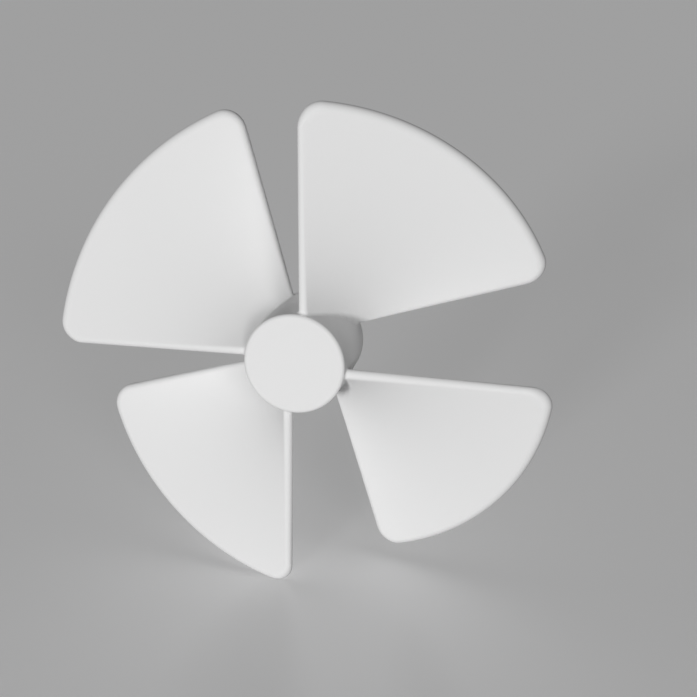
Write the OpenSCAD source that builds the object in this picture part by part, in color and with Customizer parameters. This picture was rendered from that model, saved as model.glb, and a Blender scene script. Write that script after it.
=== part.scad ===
/*
Engine cooling fan, moulded in one piece: a closed hub with wide twisted blades.
Y is the shaft axis. The closed face of the hub looks along -Y, Z points up,
and the origin lies on the axis at the middle of the hub.
*/

/* [Fan] */
// Diameter over the blade tips
tip_d = 300; // [290:1:310]
// Number of blades around the hub
blade_count = 4; // [3:1:4]

/* [Hub] */
// Outside diameter of the hub
hub_d = 61.2; // [60.4:0.2:66]
// Length of the hub along the shaft axis
hub_len = 56.8; // [56:0.2:64]
// Rounding between the closed face and the side
face_round = 2.4; // [1.6:0.2:3]
// Rounding on both sides of the open rear rim
rim_round = 1.2; // [0.6:0.2:1.4]
// Thickness of the side wall and of the closed face
hub_wall = 3.2; // [3:0.2:4]
// Fillet where wall and boss meet the inside of the closed face
floor_fillet = 1.5; // [1:0.5:2.5]

/* [Shaft seat] */
// Diameter of the shaft bore
bore_d = 8; // [6:0.5:10]
// Depth of the shaft bore
bore_len = 32; // [26:1:36]
// Lead-in chamfer at the mouth of the bore
bore_lead = 0.8; // [0.4:0.1:1.2]
// Outside diameter of the boss around the bore
boss_d = 20; // [18:0.5:24]
// Rounding around the face of the boss
boss_round = 0.6; // [0.3:0.1:0.8]
// Distance from the rear rim down to the face of the boss
boss_inset = 8.4; // [7:0.2:12]
// Number of ribs between boss and wall
rib_count = 8; // [4:1:10]
// Thickness of a rib
rib_t = 2.4; // [1.8:0.2:3]
// Distance from the face of the boss down to the top of the ribs
rib_inset = 4; // [2:0.5:8]

/* [Blades] */
// Thickness of a blade, whose edges are fully rounded
blade_t = 6.4; // [5.8:0.2:6.8]
// Direction of the leading edge, seen from the front
lead_dir = 90; // [86:1:91]
// Distance of the leading edge's centre line from the shaft axis
lead_offset = 5.1; // [4:0.1:6]
// Direction of the trailing edge, seen from the front
trail_dir = 17; // [16:0.5:21]
// Distance of the trailing edge's centre line from the shaft axis
trail_offset = 6.5; // [5:0.1:7.5]
// Distance between the edges along the shaft axis, at the hub
root_depth = 44; // [38:0.5:44]
// Distance between the edges along the shaft axis, at the tip
tip_depth = 51.2; // [44:0.2:52]
// Radius of the two outer corners of a blade
corner_r = 15; // [10:0.5:20]
// Fillet between a blade and the hub
root_fillet = 1.6; // [1:0.2:1.8]

/* [Hidden] */

// Segments of a full circle: on the hub, in the bore and in small roundings.
hub_segments = 64;
bore_segments = 48;
round_segments = 20;

tip_r = tip_d / 2;
hub_r = hub_d / 2;
well_r = hub_r - hub_wall;
boss_r = boss_d / 2;
front_y = -hub_len / 2;
rear_y = hub_len / 2;
floor_y = front_y + hub_wall;
boss_y = rear_y - boss_inset;
rib_y = boss_y - rib_inset;
bore_end_y = boss_y - bore_len;
overlap = 0.5;

half_t = blade_t / 2;
// The blade grows out of the middle of the side wall.
anchor_r = hub_r - hub_wall / 2;
// Centre line of the corner rounding, half a thickness inside the outline.
bend_r = corner_r - half_t;
bend_start = tip_r - half_t - bend_r;
fillet_end = hub_r + root_fillet;

// Steps of the blade skin: along its chord, around an edge, and outwards.
chord_steps = 18;
edge_steps = 4;
fillet_steps = 3;
span_steps = 6;
bend_steps = 5;
tip_steps = 4;
span_crowding = 1.4;
last_tip_angle = 86;

// Radii at which the blade is sectioned, from the hub wall to the tip.
section_radii = concat(
    [anchor_r],
    [for (i = [1 : fillet_steps])
        hub_r + root_fillet * (1 - cos(90 * i / fillet_steps))],
    [for (i = [1 : span_steps])
        fillet_end + (bend_start - fillet_end) * pow(i / span_steps, span_crowding)],
    [for (i = [1 : bend_steps])
        bend_start + bend_r * sin(90 * i / bend_steps)],
    [for (i = [1 : tip_steps])
        tip_r - half_t + half_t * sin(last_tip_angle * i / tip_steps)]
);

// Angles at which the two edge lines cross the cylinder of radius r.
function lead_angle(r) = lead_dir - asin(lead_offset / r);
function trail_angle(r) = trail_dir + asin(trail_offset / r);
function mid_angle(r) = (lead_angle(r) + trail_angle(r)) / 2;

// Half sizes of the section on that cylinder: around it, along the axis, and both.
function half_arc(r) = r * (lead_angle(r) - trail_angle(r)) / 2 * PI / 180;
function half_depth(r) =
    (root_depth + (tip_depth - root_depth) * (r - hub_r) / (tip_r - hub_r)) / 2;
function half_chord(r) = norm([half_arc(r), half_depth(r)]);

// Extra skin that the root fillet adds at radius r.
function flare(r) =
    let (reach = max(0, fillet_end - max(r, hub_r)))
    root_fillet - sqrt(max(0, root_fillet * root_fillet - reach * reach));

// The edge rounding starts at 0 degrees, and later within the tip rounding.
function start_angle(r) = asin(max(0, (r - tip_r + half_t) / half_t));
function edge_angle(r, j) = start_angle(r) + (90 - start_angle(r)) * j / edge_steps;

// How far the edge draws in around an outer corner, at a distance out from
// the centre line of the rounding.
function draw_in(r, out) =
    r > bend_start
    ? bend_r - sqrt(max(0, pow(bend_r + out, 2) - pow(r - bend_start, 2)))
    : -out;

// Point j of the edge rounding: distance from mid-chord, height over the mid-surface.
function edge_point(r, j) =
    let (skin = half_t + flare(r), a = edge_angle(r, j))
    [half_chord(r) - draw_in(r, skin * sin(a)), skin * cos(a)];

// One side of a section, from mid-surface to mid-surface without the two end points.
function section_side(r) =
    let (corner = edge_point(r, 0))
    concat(
        [for (j = [edge_steps - 1 : -1 : 1])
            [-edge_point(r, j)[0], edge_point(r, j)[1]]],
        [for (i = [0 : chord_steps])
            [corner[0] * (2 * i / chord_steps - 1), corner[1]]],
        [for (j = [1 : edge_steps - 1])
            edge_point(r, j)]
    );

// Closed outline of a section: each end point is followed by one side.
function section_outline(r) =
    let (side = section_side(r), edge = edge_point(r, edge_steps)[0])
    concat([[-edge, 0]], side, [[edge, 0]], -side);

// A point of the flat section laid back on the cylinder of radius r.
function wrap(p, r) =
    let (
        around = (p[0] * half_arc(r) + p[1] * half_depth(r)) / half_chord(r),
        along = (p[1] * half_arc(r) - p[0] * half_depth(r)) / half_chord(r),
        angle = mid_angle(r) + around / r * 180 / PI
    )
    [r * cos(angle), along, r * sin(angle)];

// Triangle strips across the thickness that close one end of the skin.
function end_strips(first, size) =
    [for (m = [0 : size / 2 - 1])
        let (
            a = first + m,
            b = first + m + 1,
            c = first + (size - m) % size,
            d = first + size - m - 1
        )
        each concat(m > 0 ? [[a, d, c]] : [], m < size / 2 - 1 ? [[a, b, d]] : [])];

function reversed(faces) = [for (f = faces) [f[2], f[1], f[0]]];

module blade() {
    size = 2 * (chord_steps + 2 * edge_steps);
    last = len(section_radii) - 1;
    skin_faces =
        [for (i = [0 : last - 1])
            for (j = [0 : size - 1])
                let (a = i * size + j, b = i * size + (j + 1) % size)
                each [[a, b + size, b], [a, a + size, b + size]]];
    polyhedron(
        points = [for (r = section_radii) for (p = section_outline(r)) wrap(p, r)],
        faces = concat(
            skin_faces,
            end_strips(0, size),
            reversed(end_strips(last * size, size))
        ),
        convexity = 4
    );
}

module blade_ring() {
    for (k = [0 : blade_count - 1])
        rotate([0, -k * 360 / blade_count, 0])
            blade();
}

// Fillet in an inside corner of the profile; side is 1 or -1 along the radius.
module floor_corner(x, side) {
    mirrored = side < 0 ? 1 : 0;
    translate([x, floor_y])
        mirror([mirrored, 0])
            difference() {
                translate([-overlap, -overlap])
                    square(floor_fillet + overlap);
                translate([floor_fillet, floor_fillet])
                    circle(r = floor_fillet, $fn = round_segments);
            }
}

// Half section of the hub: closed face, side wall with rounded rim, and boss.
module hub_profile() {
    translate([0, front_y])
        square([hub_r - face_round, hub_wall]);
    translate([hub_r - face_round, front_y + face_round])
        circle(r = face_round, $fn = round_segments);
    translate([well_r, front_y + face_round])
        square([hub_wall, hub_len - face_round - rim_round]);
    for (x = [well_r + rim_round, hub_r - rim_round])
        translate([x, rear_y - rim_round])
            circle(r = rim_round, $fn = round_segments);
    translate([well_r + rim_round, rear_y - 2 * rim_round])
        square([hub_wall - 2 * rim_round, 2 * rim_round]);
    translate([0, front_y])
        square([boss_r, boss_y - boss_round - front_y]);
    translate([0, front_y])
        square([boss_r - boss_round, boss_y - front_y]);
    translate([boss_r - boss_round, boss_y - boss_round])
        circle(r = boss_round, $fn = round_segments);
    floor_corner(boss_r, 1);
    floor_corner(well_r, -1);
}

module ribs() {
    for (k = [0 : rib_count - 1])
        rotate([0, k * 360 / rib_count, 0])
            translate([boss_r - overlap, floor_y - overlap, -rib_t / 2])
                cube([well_r - boss_r + 2 * overlap, rib_y - floor_y + overlap, rib_t]);
}

module shaft_bore() {
    translate([0, bore_end_y, 0])
        rotate([-90, 0, 0])
            cylinder(d = bore_d, h = bore_len + overlap, $fn = bore_segments);
    translate([0, boss_y - bore_lead, 0])
        rotate([-90, 0, 0])
            cylinder(
                d1 = bore_d,
                d2 = bore_d + 2 * (bore_lead + overlap),
                h = bore_lead + overlap,
                $fn = bore_segments
            );
}

module fan() {
    color("whitesmoke")
        difference() {
            union() {
                rotate([-90, 0, 0])
                    rotate_extrude($fn = hub_segments)
                        hub_profile();
                ribs();
                blade_ring();
            }
            shaft_bore();
        }
}

fan();
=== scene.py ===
import math

import bmesh
import bpy
from mathutils import Matrix, Vector


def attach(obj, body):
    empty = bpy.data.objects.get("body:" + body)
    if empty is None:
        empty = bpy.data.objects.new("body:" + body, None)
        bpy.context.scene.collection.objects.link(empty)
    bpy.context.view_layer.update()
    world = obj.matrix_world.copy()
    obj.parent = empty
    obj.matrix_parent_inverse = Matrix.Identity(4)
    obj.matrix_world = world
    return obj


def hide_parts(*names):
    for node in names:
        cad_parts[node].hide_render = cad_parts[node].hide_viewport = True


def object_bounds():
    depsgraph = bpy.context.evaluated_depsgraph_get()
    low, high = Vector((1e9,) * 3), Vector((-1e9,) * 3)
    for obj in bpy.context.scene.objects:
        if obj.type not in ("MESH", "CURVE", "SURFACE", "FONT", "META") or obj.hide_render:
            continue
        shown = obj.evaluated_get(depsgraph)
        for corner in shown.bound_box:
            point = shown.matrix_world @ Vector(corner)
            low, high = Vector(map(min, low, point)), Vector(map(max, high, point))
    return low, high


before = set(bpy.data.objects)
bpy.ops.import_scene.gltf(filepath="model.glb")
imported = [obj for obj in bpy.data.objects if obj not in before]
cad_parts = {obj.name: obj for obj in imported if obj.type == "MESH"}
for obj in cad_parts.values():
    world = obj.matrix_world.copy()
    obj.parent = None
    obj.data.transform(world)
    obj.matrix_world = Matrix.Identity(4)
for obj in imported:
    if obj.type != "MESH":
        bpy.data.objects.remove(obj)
cad_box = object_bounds()

# ---------------------------------------------------------------- sizes in mm, as in the solids
MM = 0.001
BLADES = 4
# The tip and its depth are a hair smaller than in the solids, whose skin is coarser, so that
# this one stays inside their box.
TIP_R = 149.9
TIP_DEPTH = 51.19
ROOT_DEPTH = 44.0
BLADE_T = 6.4
LEAD_DIR = 90.0
LEAD_OFFSET = 5.1
TRAIL_DIR = 17.0
TRAIL_OFFSET = 6.5
CORNER_R = 15.0
ROOT_FILLET = 1.6
HUB_R = 30.6
HUB_LEN = 56.8
HUB_WALL = 3.2
FACE_ROUND = 2.4
RIM_ROUND = 1.2
FLOOR_FILLET = 1.5
BORE_R = 4.0
BORE_LEN = 32.0
BORE_LEAD = 0.8
BOSS_R = 10.0
BOSS_ROUND = 0.6
BOSS_INSET = 8.4
RIBS = 8
RIB_T = 2.4
RIB_INSET = 4.0

# The photograph shows a wider rounding on the front of the trailing edge and of the tip than
# half the thickness. Behind it the rounding reaches as far in from the edge, and is only as
# high as the thickness leaves it.
WIDE_ROUND = 5.2
REST_ROUND = BLADE_T - WIDE_ROUND
# Rounding along the top edges of a rib, and how far a rib runs into what it stands on.
RIB_ROUND = 0.5
RIB_OVERLAP = 0.5

WELL_R = HUB_R - HUB_WALL
FRONT_Y = -HUB_LEN / 2
REAR_Y = HUB_LEN / 2
FLOOR_Y = FRONT_Y + HUB_WALL
BOSS_Y = REAR_Y - BOSS_INSET
BORE_END_Y = BOSS_Y - BORE_LEN
RIB_Y = BOSS_Y - RIB_INSET
HALF_T = BLADE_T / 2
# The blade grows out of the middle of the side wall.
ANCHOR_R = HUB_R - HUB_WALL / 2
FILLET_END = HUB_R + ROOT_FILLET
# Centre line of the corner rounding, half a thickness inside the outline.
BEND_R = CORNER_R - HALF_T
BEND_START = TIP_R - HALF_T - BEND_R
TIP_START = TIP_R - WIDE_ROUND

# Steps of the blade skin: along its chord, around an edge, and outwards.
CHORD_STEPS = 56
EDGE_STEPS = 9
FILLET_STEPS = 8
SPAN_STEPS = 34
SPAN_CROWDING = 1.3
BEND_STEPS = 18
TIP_STEPS = 12
LAST_TIP_ANGLE = 89

# Steps of the hub: around the axis, in its roundings, and in a rib's rounding.
HUB_STEPS = 192
FACE_STEPS = 10
RIM_STEPS = 8
FLOOR_STEPS = 6
BOSS_STEPS = 5
RIB_STEPS = 4
# Extra rings that keep the faces short: radii on the closed face, and how far a ring lies
# from either end of the side.
FACE_RINGS = (8.0, 18.0, 26.0)
SIDE_RING = 12.0

# Faces that meet at more than this many degrees keep a crease.
CREASE = 40


def quarter(i, steps, last=90):
    """Angle of step i on the way from 0 to the last angle, in radians."""
    return math.radians(last) * i / steps


# ---------------------------------------------------------------- blade skin
def section_radii():
    """Radii at which the blade is sectioned, from the hub wall to the tip."""
    radii = [ANCHOR_R]
    radii += [HUB_R + ROOT_FILLET * (1 - math.cos(quarter(i, FILLET_STEPS)))
              for i in range(FILLET_STEPS + 1)]
    radii += [FILLET_END + (BEND_START - FILLET_END) * (i / SPAN_STEPS) ** SPAN_CROWDING
              for i in range(1, SPAN_STEPS + 1)]
    radii += [BEND_START + (TIP_START - BEND_START) * math.sin(quarter(i, BEND_STEPS))
              for i in range(1, BEND_STEPS + 1)]
    radii += [TIP_START + WIDE_ROUND * math.sin(quarter(i, TIP_STEPS, LAST_TIP_ANGLE))
              for i in range(1, TIP_STEPS + 1)]
    return radii


def edge_profile(r, half_chord, reach, height, flare):
    """One rounding of the section at r, from the flat to the nose: distance from mid-chord,
    and height over the mid-surface. Around an outer corner it draws in."""
    start = math.asin(min(1.0, max(0.0, (r - TIP_R + reach) / reach)))
    points = []
    for j in range(EDGE_STEPS + 1):
        a = start + (math.pi / 2 - start) * j / EDGE_STEPS
        out = HALF_T - reach + (reach + flare) * math.sin(a)
        draw_in = -out
        if r > BEND_START:
            bend = max(0.0, (BEND_R + out) ** 2 - (r - BEND_START) ** 2)
            draw_in = BEND_R - math.sqrt(bend)
        points.append((half_chord - draw_in, HALF_T - height + (height + flare) * math.cos(a)))
    return points


def straight(start, end, h):
    """Points along the flat of a section, at height h."""
    return [(start + (end - start) * i / CHORD_STEPS, h) for i in range(CHORD_STEPS + 1)]


def section(r):
    """Closed outline of the blade on the cylinder of radius r. It runs from the trailing nose
    along the rear to the leading nose, and back along the front."""
    lead = math.radians(LEAD_DIR) - math.asin(LEAD_OFFSET / r)
    trail = math.radians(TRAIL_DIR) + math.asin(TRAIL_OFFSET / r)
    middle = (lead + trail) / 2
    half_arc = r * (lead - trail) / 2
    half_depth = (ROOT_DEPTH + (TIP_DEPTH - ROOT_DEPTH) * (r - HUB_R) / (TIP_R - HUB_R)) / 2
    half_chord = math.hypot(half_arc, half_depth)
    # Extra skin that the root fillet adds.
    below = max(0.0, FILLET_END - max(r, HUB_R))
    flare = ROOT_FILLET - math.sqrt(max(0.0, ROOT_FILLET ** 2 - below ** 2))

    # The leading edge is fully rounded, and takes the tip's roundings around its outer corner.
    turned = min(1.0, max(0.0, (r - BEND_START) / (TIP_START - BEND_START)))
    widen = turned * turned * (3 - 2 * turned) * (WIDE_ROUND - HALF_T)
    lead_front = edge_profile(r, half_chord, HALF_T + widen, HALF_T + widen, flare)
    lead_rear = edge_profile(r, half_chord, HALF_T + widen, HALF_T - widen, flare)
    trail_front = edge_profile(r, half_chord, WIDE_ROUND, WIDE_ROUND, flare)
    trail_rear = edge_profile(r, half_chord, WIDE_ROUND, REST_ROUND, flare)
    flat = [(-x, h) for x, h in reversed(trail_rear[1:])]
    flat += straight(-trail_rear[0][0], lead_rear[0][0], lead_rear[0][1])
    flat += lead_rear[1:-1]
    flat += [(x, -h) for x, h in reversed(lead_front[1:])]
    flat += straight(lead_front[0][0], -trail_front[0][0], -lead_front[0][1])
    flat += [(-x, -h) for x, h in trail_front[1:-1]]

    # The flat section is laid back on its cylinder.
    points = []
    for x, h in flat:
        around = (x * half_arc + h * half_depth) / half_chord
        along = (h * half_arc - x * half_depth) / half_chord
        a = middle + around / r
        points.append((r * math.cos(a), along, r * math.sin(a)))
    return points


def add_blade(verts, faces, turn):
    """A blade, turned about the shaft axis, as a skin of sections with closed ends."""
    c, s = math.cos(turn), math.sin(turn)
    first = len(verts)
    rings = [section(r) for r in section_radii()]
    size = len(rings[0])
    for ring in rings:
        verts += [(x * c - z * s, y, x * s + z * c) for x, y, z in ring]
    for i in range(len(rings) - 1):
        for j in range(size):
            a = first + i * size + j
            b = first + i * size + (j + 1) % size
            faces.append((a, b, b + size, a + size))
    # Both ends are closed by strips that run across the thickness.
    for end in (first, first + (len(rings) - 1) * size):
        for m in range(size // 2):
            strip = (end + m, end + m + 1, end + size - m - 1, end + (size - m) % size)
            faces.append(tuple(dict.fromkeys(strip)))


# ---------------------------------------------------------------- hub
def arc(centre_r, centre_y, radius, start, end, steps):
    """Arc in the hub's half section, from the start to the end angle in degrees."""
    angles = [math.radians(start + (end - start) * i / steps) for i in range(steps + 1)]
    return [(centre_r + radius * math.cos(a), centre_y + radius * math.sin(a)) for a in angles]


def hub_outline():
    """Half section of the hub as (radius, y), from the middle of the closed face round to the
    middle of the bore's end."""
    outline = [(0.0, FRONT_Y)] + [(r, FRONT_Y) for r in FACE_RINGS]
    outline += arc(HUB_R - FACE_ROUND, FRONT_Y + FACE_ROUND, FACE_ROUND, -90, 0, FACE_STEPS)
    outline += [(HUB_R, FRONT_Y + SIDE_RING), (HUB_R, 0.0), (HUB_R, REAR_Y - SIDE_RING)]
    outline += arc(HUB_R - RIM_ROUND, REAR_Y - RIM_ROUND, RIM_ROUND, 0, 90, RIM_STEPS)
    outline += arc(WELL_R + RIM_ROUND, REAR_Y - RIM_ROUND, RIM_ROUND, 90, 180, RIM_STEPS)
    outline += [(WELL_R, REAR_Y - SIDE_RING), (WELL_R, 0.0)]
    fillet_y = FLOOR_Y + FLOOR_FILLET
    outline += arc(WELL_R - FLOOR_FILLET, fillet_y, FLOOR_FILLET, 0, -90, FLOOR_STEPS)
    outline += arc(BOSS_R + FLOOR_FILLET, fillet_y, FLOOR_FILLET, -90, -180, FLOOR_STEPS)
    outline += [(BOSS_R, 0.0)]
    outline += arc(BOSS_R - BOSS_ROUND, BOSS_Y - BOSS_ROUND, BOSS_ROUND, 0, 90, BOSS_STEPS)
    outline += [(BORE_R + BORE_LEAD, BOSS_Y), (BORE_R, BOSS_Y - BORE_LEAD)]
    outline += [(BORE_R, BOSS_Y - BORE_LEN / 2), (BORE_R, BORE_END_Y), (0.0, BORE_END_Y)]
    return outline


def add_hub(verts, faces):
    """The hub's outline turned about Y. Its first and last points lie on the axis."""
    rings = []
    for r, y in hub_outline():
        count = HUB_STEPS if r > 0 else 1
        rings.append(range(len(verts), len(verts) + count))
        for k in range(count):
            a = 2 * math.pi * k / HUB_STEPS
            verts.append((r * math.cos(a), y, -r * math.sin(a)))
    for lower, upper in zip(rings, rings[1:]):
        for k in range(HUB_STEPS):
            n = (k + 1) % HUB_STEPS
            corners = (lower[k % len(lower)], lower[n % len(lower)],
                       upper[n % len(upper)], upper[k % len(upper)])
            faces.append(tuple(dict.fromkeys(corners)))


def rib_profile():
    """Cross section of a rib as (width, y), with rounded top edges."""
    side = [(-RIB_T / 2, FLOOR_Y - RIB_OVERLAP), (-RIB_T / 2, RIB_Y - RIB_ROUND)]
    for i in range(1, RIB_STEPS + 1):
        a = quarter(i, RIB_STEPS)
        side.append((-RIB_T / 2 + RIB_ROUND * (1 - math.cos(a)),
                     RIB_Y - RIB_ROUND * (1 - math.sin(a))))
    return side + [(-w, y) for w, y in reversed(side)]


def add_rib(verts, faces, turn):
    """A rib from inside the boss to inside the wall."""
    c, s = math.cos(turn), math.sin(turn)
    first = len(verts)
    profile = rib_profile()
    for r in (BOSS_R - RIB_OVERLAP, WELL_R + RIB_OVERLAP):
        verts += [(r * c - w * s, y, r * s + w * c) for w, y in profile]
    size = len(profile)
    for j in range(size):
        a, b = first + j, first + (j + 1) % size
        faces.append((a, b, b + size, a + size))
    faces.append(tuple(range(first, first + size)))
    faces.append(tuple(range(first + size, first + 2 * size)))


# ---------------------------------------------------------------- the moulding
def link_object(name, data):
    obj = bpy.data.objects.new(name, data)
    bpy.context.scene.collection.objects.link(obj)
    return obj


def closed_shell(name, add, *args):
    """One closed shell as an object, its faces looking outwards."""
    verts, faces = [], []
    add(verts, faces, *args)
    mesh = bpy.data.meshes.new(name)
    mesh.from_pydata([(x * MM, y * MM, z * MM) for x, y, z in verts], [], faces)
    bm = bmesh.new()
    bm.from_mesh(mesh)
    bmesh.ops.recalc_face_normals(bm, faces=bm.faces)
    if bm.calc_volume(signed=True) < 0:
        bmesh.ops.reverse_faces(bm, faces=bm.faces)
    bm.to_mesh(mesh)
    bm.free()
    return link_object(name, mesh)


def unite(base, others):
    """The base takes in the other shells and becomes one skin with them."""
    for other in others:
        union = base.modifiers.new(other.name, "BOOLEAN")
        union.operation = "UNION"
        union.solver = "MANIFOLD"
        union.object = other
    bpy.context.view_layer.update()
    depsgraph = bpy.context.evaluated_depsgraph_get()
    whole = bpy.data.meshes.new_from_object(base.evaluated_get(depsgraph), depsgraph=depsgraph)
    base.modifiers.clear()
    base.data = whole
    for other in others:
        bpy.data.objects.remove(other)
    whole.polygons.foreach_set("use_smooth", [True] * len(whole.polygons))
    whole.set_sharp_from_angle(angle=math.radians(CREASE))


moulding = closed_shell("fan_moulding", add_hub)
ribs = [closed_shell(f"rib_{k}", add_rib, 2 * math.pi * k / RIBS) for k in range(RIBS)]
blades = [closed_shell(f"blade_{k}", add_blade, 2 * math.pi * k / BLADES) for k in range(BLADES)]
unite(moulding, ribs + blades)

# ---------------------------------------------------------------- material
# Faint flow mottle of the moulding, centimetres across, and the fine grain of the mould:
# noise scales per metre, and their detail.
FLOW_SCALE, FLOW_DETAIL = 22.0, 3.0
GRAIN_SCALE, GRAIN_DETAIL = 1400.0, 2.0
# Colours and roughnesses at the two ends of the mottle.
FLOW_SPAN = (0.3, 0.7)
FLOW_TONES = ((0.795, 0.795, 0.79, 1), (0.825, 0.825, 0.82, 1))
FLOW_ROUGHNESS = (0.43, 0.56)
GRAIN_STRENGTH = 0.25
GRAIN_HEIGHT = 0.00012
PLASTIC_IOR = 1.49


def moulded_plastic():
    """Pale satin plastic. Colour and roughness drift a little with the same flow."""
    mat = bpy.data.materials.new("moulded_plastic")
    mat.use_nodes = True
    nt = mat.node_tree
    nt.nodes.clear()
    new = nt.nodes.new
    link = nt.links.new
    out = new("ShaderNodeOutputMaterial")
    shader = new("ShaderNodeBsdfPrincipled")
    shader.inputs["IOR"].default_value = PLASTIC_IOR
    link(shader.outputs["BSDF"], out.inputs["Surface"])
    place = new("ShaderNodeTexCoord")

    def noise(scale, detail):
        node = new("ShaderNodeTexNoise")
        node.inputs["Scale"].default_value = scale
        node.inputs["Detail"].default_value = detail
        link(place.outputs["Object"], node.inputs["Vector"])
        return node.outputs["Fac"]

    flow = noise(FLOW_SCALE, FLOW_DETAIL)
    tone = new("ShaderNodeValToRGB")
    for element, position, color in zip(tone.color_ramp.elements, FLOW_SPAN, FLOW_TONES):
        element.position = position
        element.color = color
    link(flow, tone.inputs["Fac"])
    link(tone.outputs["Color"], shader.inputs["Base Color"])

    rough = new("ShaderNodeMapRange")
    rough.inputs["To Min"].default_value, rough.inputs["To Max"].default_value = FLOW_ROUGHNESS
    link(flow, rough.inputs["Value"])
    link(rough.outputs["Result"], shader.inputs["Roughness"])

    bump = new("ShaderNodeBump")
    bump.inputs["Strength"].default_value = GRAIN_STRENGTH
    bump.inputs["Distance"].default_value = GRAIN_HEIGHT
    link(noise(GRAIN_SCALE, GRAIN_DETAIL), bump.inputs["Height"])
    link(bump.outputs["Normal"], shader.inputs["Normal"])
    return mat


plastic = moulded_plastic()
moulding.data.materials.append(plastic)
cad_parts["fan"].data.materials.clear()
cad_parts["fan"].data.materials.append(plastic)
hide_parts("fan")
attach(moulding, "root")

# ---------------------------------------------------------------- floor and backdrop
# The floor's own colour, and how much paler it looks than the lamps make it.
FLOOR_TONE = (0.55, 0.55, 0.555, 1)
FLOOR_LIFT = 0.25
# The backdrop's tone is that of the far floor. The even light all round is weaker.
BACKDROP = (0.351, 0.351, 0.352, 1)
AMBIENT = 0.04
# Half the side of the floor in metres, so large that it ends at the horizon.
FLOOR_HALF = 60.0


def background_ray(nt):
    """1 for camera, glossy and transmission rays, which see the background's own tone."""
    path = nt.nodes.new("ShaderNodeLightPath")
    value = path.outputs["Is Camera Ray"]
    for kind in ("Is Glossy Ray", "Is Transmission Ray"):
        either = nt.nodes.new("ShaderNodeMath")
        either.operation = "MAXIMUM"
        nt.links.new(value, either.inputs[0])
        nt.links.new(path.outputs[kind], either.inputs[1])
        value = either.outputs["Value"]
    return value


def pale_floor():
    """Matt. Its lift is seen but lights nothing, and it keeps the object's shadow."""
    mat = bpy.data.materials.new("floor_pale")
    mat.use_nodes = True
    nt = mat.node_tree
    nt.nodes.clear()
    matt = nt.nodes.new("ShaderNodeBsdfDiffuse")
    matt.inputs["Color"].default_value = FLOOR_TONE
    lift = nt.nodes.new("ShaderNodeEmission")
    lift.inputs["Strength"].default_value = FLOOR_LIFT
    seen = nt.nodes.new("ShaderNodeMixShader")
    both = nt.nodes.new("ShaderNodeAddShader")
    out = nt.nodes.new("ShaderNodeOutputMaterial")
    nt.links.new(background_ray(nt), seen.inputs["Fac"])
    nt.links.new(lift.outputs["Emission"], seen.inputs[2])
    nt.links.new(matt.outputs["BSDF"], both.inputs[0])
    nt.links.new(seen.outputs["Shader"], both.inputs[1])
    nt.links.new(both.outputs["Shader"], out.inputs["Surface"])
    return mat


def studio_world():
    """Even light all round, while the camera and reflections see the backdrop's own tone."""
    world = bpy.data.worlds.new("studio")
    bpy.context.scene.world = world
    world.use_nodes = True
    nt = world.node_tree
    nt.nodes.clear()
    even = nt.nodes.new("ShaderNodeBackground")
    even.inputs["Color"].default_value = (1, 1, 1, 1)
    even.inputs["Strength"].default_value = AMBIENT
    seen = nt.nodes.new("ShaderNodeBackground")
    seen.inputs["Color"].default_value = BACKDROP
    mix = nt.nodes.new("ShaderNodeMixShader")
    out = nt.nodes.new("ShaderNodeOutputWorld")
    nt.links.new(background_ray(nt), mix.inputs["Fac"])
    nt.links.new(even.outputs["Background"], mix.inputs[1])
    nt.links.new(seen.outputs["Background"], mix.inputs[2])
    nt.links.new(mix.outputs["Shader"], out.inputs["Surface"])


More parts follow.
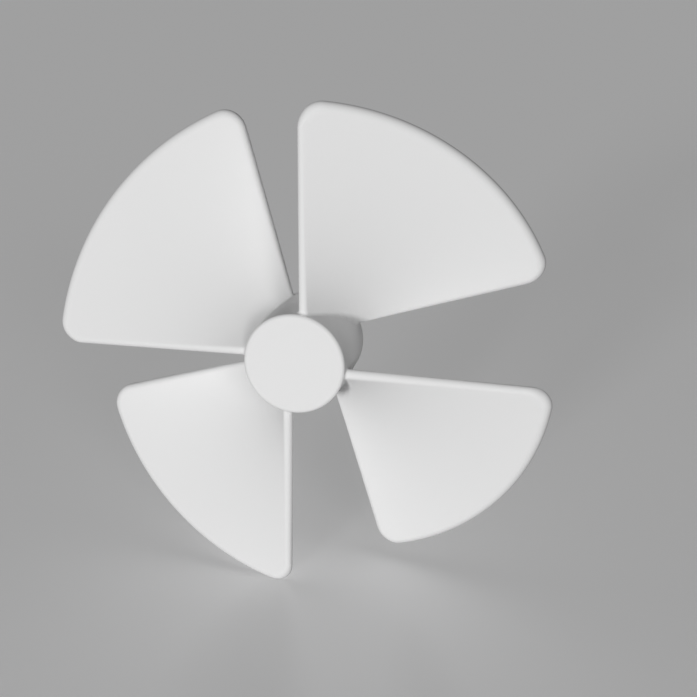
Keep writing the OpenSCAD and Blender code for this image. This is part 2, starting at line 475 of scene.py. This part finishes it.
floor_z = cad_box[0].z
floor_mesh = bpy.data.meshes.new("floor")
floor_corners = [(x * FLOOR_HALF, y * FLOOR_HALF, floor_z)
                 for x, y in ((-1, -1), (1, -1), (1, 1), (-1, 1))]
floor_mesh.from_pydata(floor_corners, [], [(0, 1, 2, 3)])
floor_mesh.materials.append(pale_floor())
link_object("floor", floor_mesh)
studio_world()


# ---------------------------------------------------------------- lamps
def lamp(name, azimuth, elevation, strength, width):
    """A far, soft lamp. Azimuth 0 stands before the closed face and turns towards +X; angles
    and the lamp's width are in degrees."""
    data = bpy.data.lights.new(name, "SUN")
    data.energy = strength
    data.angle = math.radians(width)
    obj = link_object(name, data)
    a, e = math.radians(azimuth), math.radians(elevation)
    place = Vector((math.sin(a) * math.cos(e), -math.cos(a) * math.cos(e), math.sin(e)))
    obj.location = place
    obj.rotation_euler = place.to_track_quat("Z", "Y").to_euler()


lamp("key", -12, 4, 2.25, 10)
lamp("fill", 32, 10, 0.75, 20)
lamp("back", 196, 3, 2.7, 14)

# ---------------------------------------------------------------- camera
# The photograph's side, its middle pixel, the focal length, and the pixel on the camera's
# axis, all in pixels.
PHOTO = 697
MIDDLE = 348.0
FOCAL_PX = 1060.21
AXIS_X, AXIS_Y = 301.29, 404.74
# Turn to the right and tilt down in degrees, and the eye in metres.
YAW, PITCH = math.radians(14.33), math.radians(21.61)
EYE = Vector((0.14971, -0.59426, 0.20669))
SENSOR = 36
# Nearer than the object, and past the floor's corners.
CLIP_START, CLIP_END = 0.01, 200

cam_data = bpy.data.cameras.new("camera")
cam_data.sensor_width = SENSOR
cam_data.sensor_fit = "HORIZONTAL"
cam_data.lens = FOCAL_PX / PHOTO * SENSOR
cam_data.shift_x = (MIDDLE - AXIS_X) / PHOTO
cam_data.shift_y = (AXIS_Y - MIDDLE) / PHOTO
cam_data.clip_start = CLIP_START
cam_data.clip_end = CLIP_END
camera = link_object("camera", cam_data)
forward = Vector((-math.sin(YAW) * math.cos(PITCH),
                  math.cos(YAW) * math.cos(PITCH),
                  -math.sin(PITCH)))
right = Vector((math.cos(YAW), math.sin(YAW), 0))
above = right.cross(forward)
facing = Matrix((right, above, -forward)).transposed()
camera.matrix_world = Matrix.Translation(EYE) @ facing.to_4x4()
bpy.context.scene.camera = camera
bpy.context.scene.view_settings.view_transform = "Standard"

bpy.context.view_layer.update()
